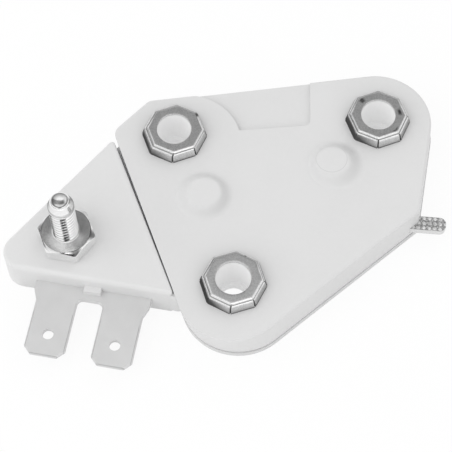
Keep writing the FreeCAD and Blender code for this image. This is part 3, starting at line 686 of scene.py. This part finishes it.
def web_surface():
    """A five-sided outline raised through seven heights; its front leans back as the wing's does."""
    corners = np.array(WEB_CORNERS_MM)
    middle = corners.mean(axis=0)
    z = np.array(WEB_HEIGHTS_MM)[:, None]
    width = np.array(WEB_WIDTHS)[:, None]
    back = np.clip(z - WEB_LEANS_FROM_MM, 0.0, None) ** 2 * 0.6
    across = middle[0] + (corners[:, 0] - middle[0]) * width
    along = middle[1] + (corners[:, 1] - middle[1]) * width
    return gap_points(across, np.where(along > WEB_FRONT_MM, along - back, along), z)


grid_piece("gap_end_web", web_surface(), None, 30.0, slot="wing_plastic")

# %% [markdown]
# Each contact cap is pressed from sheet over an eight-sided boss. Its top edge is rolled bright,
# a fine groove runs under it, and the skirt is slit at every corner so that it can be folded
# down. Here the profile runs from the bore's rim over the top, the bevel, the groove and the
# shoulder to the foot, and back up inside. The slit is a narrow notch in the skirt at each
# corner, deepest in front. The attribute does the rest: it greys the top and leaves a few marks
# of wear, and painted shade darkens the groove, the slits, the foot, the inside, the back edge
# and the skirts on the left.

# %% Contact caps
CAP_PROFILE = [
    # share of the polygon, radius, height over the cap's foot, share of the slit, stain and shade;
    # the last greys the top and is painted shade in the groove, at the foot and inside
    (0.0, 2.70, 1.58, 0.0, 0.0),
    (0.0, 2.70, 1.86, 0.0, 0.0),
    (0.0, 2.72, 1.89, 0.0, 0.0),
    (0.0, 2.76, 1.90, 0.0, 0.23),
    (0.2, 3.05, 1.90, 0.0, 0.23),
    (0.4, 3.35, 1.90, 0.0, 0.23),
    (0.6, 3.65, 1.90, 0.0, 0.23),
    (0.8, 3.90, 1.90, 0.0, 0.23),
    (1.0, 4.12, 1.90, 0.0, 0.23),
    (1.0, 4.20, 1.89, 0.0, 0.0),
    (1.0, 4.32, 1.86, 0.0, 0.0),
    (1.0, 4.41, 1.81, 0.0, 0.0),
    (1.0, 4.48, 1.74, 0.0, 0.0),
    (1.0, 4.51, 1.67, 0.1, 0.4),
    (1.0, 4.50, 1.62, 0.2, 0.8),
    (1.0, 4.52, 1.59, 0.3, 0.8),
    (1.0, 4.60, 1.575, 0.5, 0.3),
    (1.0, 4.70, 1.55, 0.8, 0.0),
    (1.0, 4.79, 1.49, 1.0, 0.0),
    (1.0, 4.85, 1.39, 1.0, 0.0),
    (1.0, 4.89, 1.23, 1.0, 0.05),
    (1.0, 4.97, 0.95, 1.0, 0.12),
    (1.0, 5.05, 0.65, 1.0, 0.2),
    (1.0, 5.12, 0.32, 1.0, 0.35),
    (1.0, 5.165, 0.14, 1.0, 0.9),
    (1.0, 5.18, 0.0, 1.0, 1.0),
    (1.0, 4.84, 0.0, 0.0, 1.0),
    (1.0, 4.44, 1.38, 0.0, 0.9),
    (0.5, 3.60, 1.50, 0.0, 0.9),
    (0.0, 2.95, 1.50, 0.0, 1.0),
    (0.0, 2.95, 1.58, 0.0, 1.0),
]
# degrees from one corner of an octagon to its next side's middle, close together at the corner
SECTOR = [0.0, 0.6, 0.9, 1.1, 1.4, 2.0, 3.2, 5.0, 7.0, 9.0, 11.0, 13.0, 15.0, 17.0, 19.0, 21.0, 22.5]
SLIT_HALF_DEGREES = 1.1
SLIT_DEPTH = 0.25
# how deep the slits are and how much painted shade fills them, by the direction that they face
SLIT_DIRECTIONS = [-180, -135, -90, -45, 0, 90, 180]
SLIT_WEIGHTS = [0.2, 0.15, 1.0, 0.6, 0.5, 0.3, 0.2]
# painted shade on the bevel at the back
BACK_SHADE = 0.5
CAPS = {
    # turn of the octagon, strength and direction of the painted shade on the skirts, and top shift in
    # mm
    "left": (37.9, 0.95, 195.0, 0.18),
    "right": (38.3, 1.3, 195.0, 0.0),
    "front": (35.5, 1.9, 182.0, 0.08),
}
CAP_MARKS = {
    # direction in degrees, half width in degrees, inner and outer radius, strength
    "left": [(33.0, 3.5, 4.2, 4.9, 1.0)],
    "right": [(129.0, 6.0, 3.35, 3.95, 0.7), (3.0, 8.0, 3.1, 3.85, 0.8),
              (-52.0, 9.0, 3.85, 3.95, 0.7)],
    "front": [(60.0, 2.0, 4.3, 4.6, 0.5)],
}


def cap_angles(turn_degrees):
    """Directions round a cap in degrees, crowded at its eight corners."""
    half = np.array(SECTOR)
    sector = np.concatenate([half, 45.0 - half[-2:0:-1]])
    return (sector + 45.0 * np.arange(8)[:, None]).ravel() + turn_degrees


def cap_slits(degrees, turn_degrees):
    """How much of a slit there is in each direction: 0 away from the corners."""
    off = np.abs((degrees - turn_degrees + 22.5) % 45.0 - 22.5)
    near = np.clip((SLIT_HALF_DEGREES + 0.3 - off) / 0.3, 0.0, 1.0)
    return near, np.interp(swing_from(degrees, 0.0), SLIT_DIRECTIONS, SLIT_WEIGHTS)


def cap_surface(side, centre):
    """Radius blends from a circle to the octagon along the profile, less a notch at each corner.

    The stain and painted shade follow the profile. Painted shade fills the notches and deepens on
    the skirt of the shaded side and on the back's bevel.
    """
    turn, side_shade, shade_direction, top_shift = CAPS[side]
    degrees = cap_angles(turn)
    angle = np.radians(degrees)
    share, radius, height, slit, stain_and_shade = np.array(CAP_PROFILE).T[:, :, None]
    near, weight = cap_slits(degrees, turn)
    slit = slit * weight * near
    octagon = polygon_reach(angle, 8, math.radians(turn), 1.0, 0.012)
    reach = radius * (1 - share + share * octagon) - SLIT_DEPTH * slit
    skirt = np.clip((1.45 - height) / 1.4, 0.0, 1.0)
    # painted shade: it fills the slits and darkens the skirt on the shaded side
    dark = np.clip(np.cos(angle - math.radians(shade_direction)), 0.0, 1.0) ** 2.5
    stain_and_shade = stain_and_shade + slit + side_shade * dark * (skirt > 0.0) * (0.6 + 0.4 * np.sqrt(skirt))
    # painted shade on the back's bevel
    behind = np.clip(np.sin(angle) * 2.5 - 0.6, 0.0, 1.0)
    stain_and_shade = stain_and_shade + BACK_SHADE * behind * (radius > 4.15) * (height > 1.65)
    for direction, width, inner, outer, strength in CAP_MARKS[side]:
        within = (radius >= inner) & (radius <= outer) & (height > 1.5)
        swing = np.abs(swing_from(degrees, direction))
        stain_and_shade = stain_and_shade + strength * within * np.clip(1.5 - swing / width, 0.0, 1.0)
    shift = top_shift * share * np.clip((height - 1.4) / 0.3, 0.0, 1.0)
    x = centre[0] + reach * np.cos(angle) + shift
    y = centre[1] + reach * np.sin(angle)
    return np.stack([x, y, centre[2] + height + 0 * reach], -1), stain_and_shade


for cap_side in CAPS:
    node_name = "contact_cap_" + cap_side
    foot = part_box(node_name)[0][2] / MM
    points, stain_and_shade = cap_surface(cap_side, (*node_centre(node_name)[:2], foot))
    grid_piece(cap_side + "_cap_shell", points, node_name, 38.0, stain_and_shade)

# %% [markdown]
# The nut is a hexagon with its top corners turned off to a circle. As a surface of two
# parameters, the outer radius at each angle is the hexagon's, and where the turned chamfer cuts
# deeper the height follows the cone instead. A fine lip stands round the thread, and the worn
# flat falls a little from there to the chamfer. Painted shade greys the bore, the flat, the
# chamfer's edge and the foot; on the flat it is darker at the right of its front than at the
# left, and four corners of the chamfer are dark with it.

# %% Hexagon nut
NUT_TURN = 46.0
NUT_ACROSS = 7.9
CHAMFER_RADIUS = 3.8
CHAMFER_DROP = 0.55
MOUTH_RADIUS = 2.2
NUT_BORE = 1.98
NUT_CROWN = 0.14
# direction in degrees and depth of the painted shade at the dark corners of the chamfer
NUT_DARK_CORNERS = [(166.0, 0.6), (-14.0, 0.9), (46.0, 0.3), (-70.0, 0.95)]
# direction in degrees and what the painted shade on the flat gains there
FLAT_DIRECTIONS = [-180.0, -140.0, -100.0, -75.0, -58.0, -30.0, 180.0]
FLAT_GAINS = [0.0, 0.0, -0.25, -0.05, 0.2, 0.05, 0.0]
nut_low, nut_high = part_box("stud_nut")
stud_axis = node_centre("stud_nut")[:2]


def rings_round_stud(rings, angle):
    """Points and stains of rings (radius, height, stain), each a number or one for each angle."""
    reach, height, stain_and_shade = (np.array([ring[i] + 0 * angle for ring in rings]) for i in range(3))
    x = stud_axis[0] + reach * np.cos(angle)
    y = stud_axis[1] + reach * np.sin(angle)
    return np.stack([x, y, height], -1), stain_and_shade


def nut_surface():
    """Rings from the bore over the lip, the flat, the chamfer cone and the side to the foot."""
    degrees = np.arange(0, 360, 2.5) + NUT_TURN
    angle = np.radians(degrees)
    corner = NUT_ACROSS / 2 / math.cos(math.pi / 6)
    side = polygon_reach(angle, 6, math.radians(NUT_TURN), corner, 0.09)
    low, top = nut_low[2] / MM, nut_high[2] / MM
    rim = top - NUT_CROWN
    slope = CHAMFER_DROP / (corner - CHAMFER_RADIUS)
    fall = np.clip(side - 0.05 - CHAMFER_RADIUS, 0.0, None) * slope
    gain = np.interp(swing_from(degrees, 0.0), FLAT_DIRECTIONS, FLAT_GAINS)
    dark = sum(depth * np.clip(1.3 - np.abs(swing_from(degrees, direction)) / 13.0, 0.0, 1.0)
               for direction, depth in NUT_DARK_CORNERS)
    # the third value of each ring is painted shade
    rings = [
        (NUT_BORE, low, 0.6),
        (NUT_BORE, top - 0.25, 0.3),
        (NUT_BORE + 0.02, top, 0.0),
        (MOUTH_RADIUS, top - 0.08, 0.5 + gain),
        (CHAMFER_RADIUS - 0.15, rim, 0.38 + gain),
        (CHAMFER_RADIUS - 0.07, rim, 0.7 + dark),
        (CHAMFER_RADIUS, rim - 0.015, 0.3 + dark),
        (np.maximum(side - 0.05, CHAMFER_RADIUS), rim - fall - 0.02, dark),
        (side, rim - fall - 0.09, 0.0),
        (side, low + 0.1, 0.0),
        (side - 0.06, low, 0.3),
    ]
    return rings_round_stud(rings, angle)


points, stain_and_shade = nut_surface()
grid_piece("hexagon_nut", points, "stud_nut", 25.0, stain_and_shade)

# %% [markdown]
# The stud's thread is one helix, so its surface is a radius that depends on the height and the
# angle together: a triangle wave of the height over the pitch, less the angle's share of a turn,
# with its crests cut flat. The thread fades out at its top end, and a shoulder, a cone and a
# dished end follow. The hexagon head sits in the wing's underside, and belongs to the same
# surface. Painted shade darkens the shoulder at its sides and one half of the end.

# %% Threaded stud
PITCH = 0.8
THREAD_DEPTH = 0.36
THREAD_TOP = 16.2
STUD_RADIUS = 1.965
HEAD_ACROSS = 7.0
HEAD_HEIGHT = 2.0
HEAD_CORNER = HEAD_ACROSS / 2 / math.cos(math.pi / 6)
stud_low, stud_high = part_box("terminal_stud")


def stud_surface():
    """Head rings, then a thread whose radius falls by a triangle wave of height and angle."""
    angle = np.radians(np.arange(0, 360, 3.0))
    low, top = stud_low[2] / MM, stud_high[2] / MM
    head = polygon_reach(angle, 6, math.radians(NUT_TURN), HEAD_CORNER, 0.08)
    z = np.arange(low + HEAD_HEIGHT + 0.05, THREAD_TOP + 0.5, PITCH / 12)[:, None]
    wave = np.abs((z / PITCH - angle / (2 * math.pi)) % 1.0 * 2 - 1)
    fade = np.clip((THREAD_TOP + 0.4 - z) / 0.5, 0.0, 1.0)
    thread = STUD_RADIUS - THREAD_DEPTH * fade * np.clip(wave * 1.5 - 0.5, 0.0, 1.0)
    # painted shade on the shoulder's sides and on one half of the end
    sideways = np.abs(np.cos(angle))
    beyond = np.clip(np.cos(angle - math.radians(120.0)) + 0.4, 0.0, 1.0)
    dish = np.clip(np.cos(angle + math.radians(50.0)), 0.0, 1.0)
    rings = [
        (0.0, low, 0.0),
        (head - 0.1, low, 0.0),
        (head, low + 0.1, 0.0),
        (head, low + HEAD_HEIGHT - 0.1, 0.0),
        (head - 0.1, low + HEAD_HEIGHT, 0.0),
        (STUD_RADIUS, low + HEAD_HEIGHT, 0.0),
        *((radius, height[0], 0.0) for radius, height in zip(thread, z)),
        (STUD_RADIUS, 16.95, 0.1 + 0.2 * sideways),
        (1.93, 17.05, 0.12 + 0.3 * sideways),
        (1.893, 17.15, 0.0),
        (1.56, 18.05, 0.0),
        (1.36, 18.13, 0.0),
        (1.33, 18.2, 0.0),
        (1.32, top - 0.09, 0.0),
        (1.24, top - 0.01, 0.0),
        (1.12, top, 0.25 + 0.5 * beyond),
        (0.95, top - 0.05, 0.2 + 0.4 * beyond),
        (0.5, top - 0.19, 0.7 * dish),
        (0.0, top - 0.24, 0.0),
    ]
    return rings_round_stud(rings, angle)


points, stain_and_shade = stud_surface()
grid_piece("threaded_stud", points, "terminal_stud", 40.0, stain_and_shade, poles=True)

# %% [markdown]
# The dots of the test tab are shallow domes on the grid that its metal already knows. Each is
# a disc of rings whose height falls with the cosine of the radius, closed by a flat underside,
# and all are one mesh.

# %% Dots on the test tab
DOT_HEIGHT_MM = 0.09
DOT_ROWS = (-1, 0, 1)
DOT_COLUMNS = (1, 2, 3, 4)
tab_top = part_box("test_tab")[1][2] / MM


def dot_domes():
    """Dots by rings by angles: the radius grows along the rings and the height is its cosine."""
    turn = math.radians(TAB_TURN_DEGREES)
    ring = np.append(np.linspace(0.0, 1.0, 6), 0.0)[:, None]
    rise = np.append(np.cos(ring[:6] * math.pi / 2), [[0.0]], 0)
    angle = np.linspace(0, 2 * math.pi, 12, endpoint=False)
    along, across = np.meshgrid(DOT_COLUMNS, DOT_ROWS, indexing="ij")
    along, across = (step.reshape(-1, 1, 1) * DOT_PITCH_MM for step in (along, across))
    x = TAB_START_MM[0] + along * math.cos(turn) - across * math.sin(turn)
    y = TAB_START_MM[1] + along * math.sin(turn) + across * math.cos(turn)
    reach = DOT_RADIUS_MM * ring
    x, y = x + reach * np.cos(angle), y + reach * np.sin(angle)
    return np.stack([x, y, tab_top - 0.01 + DOT_HEIGHT_MM * rise + 0 * x], -1)


grid_piece("tab_dots", dot_domes(), None, 60.0, slot="tab_metal", poles=True)

# %% [markdown]
# The floor is a plain white sheet. It must look white to the camera without throwing more light
# on the part, so its shader mixes a diffuse white, which keeps the part's shadow, with a plain
# white glow that only the camera and mirrors see.

# %% Floor
FLOOR_HALF = 3.0
FLOOR_GLOW = 0.9
floor_low = cad_box[0][2] - 0.02 * MM
floor_mesh = bpy.data.meshes.new("floor")
floor_mesh.from_pydata([(-FLOOR_HALF, -FLOOR_HALF, floor_low), (FLOOR_HALF, -FLOOR_HALF, floor_low),
                        (FLOOR_HALF, FLOOR_HALF, floor_low), (-FLOOR_HALF, FLOOR_HALF, floor_low)],
                       [], [(0, 1, 2, 3)])
floor = bpy.data.objects.new("floor", floor_mesh)
scene.collection.objects.link(floor)
floor_material, flow, place = begin("floor_white")
paper = noise(flow, place, 30.0)
sheet = flow.node("ShaderNodeBsdfDiffuse", None, {"Color": paper.grey(0.93, 0.95)})
glow = flow.node("ShaderNodeEmission", None, {"Color": (1.0, 1.0, 1.0, 1.0)})
share = seen_directly(flow) * FLOOR_GLOW
lit = flow.node("ShaderNodeMixShader", None, {0: share, 1: sheet, 2: glow})
flow.node("ShaderNodeOutputMaterial", None, {"Surface": lit})
floor_mesh.materials.append(floor_material)
floor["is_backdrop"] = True
print("floor at", round(floor_low / MM, 3), "mm")

# %% [markdown]
# Last, the dressed part's box is held against the measured part's box, and the growth at each
# side is printed.

# %% Sizes and finish
visual_box = [list(corner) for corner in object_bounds()]
growth = [round((abs(dressed) - abs(measured)) / MM, 3)
          for dressed_corner, measured_corner in zip(visual_box, cad_box)
          for dressed, measured in zip(dressed_corner, measured_corner)]
print("growth in mm", growth)
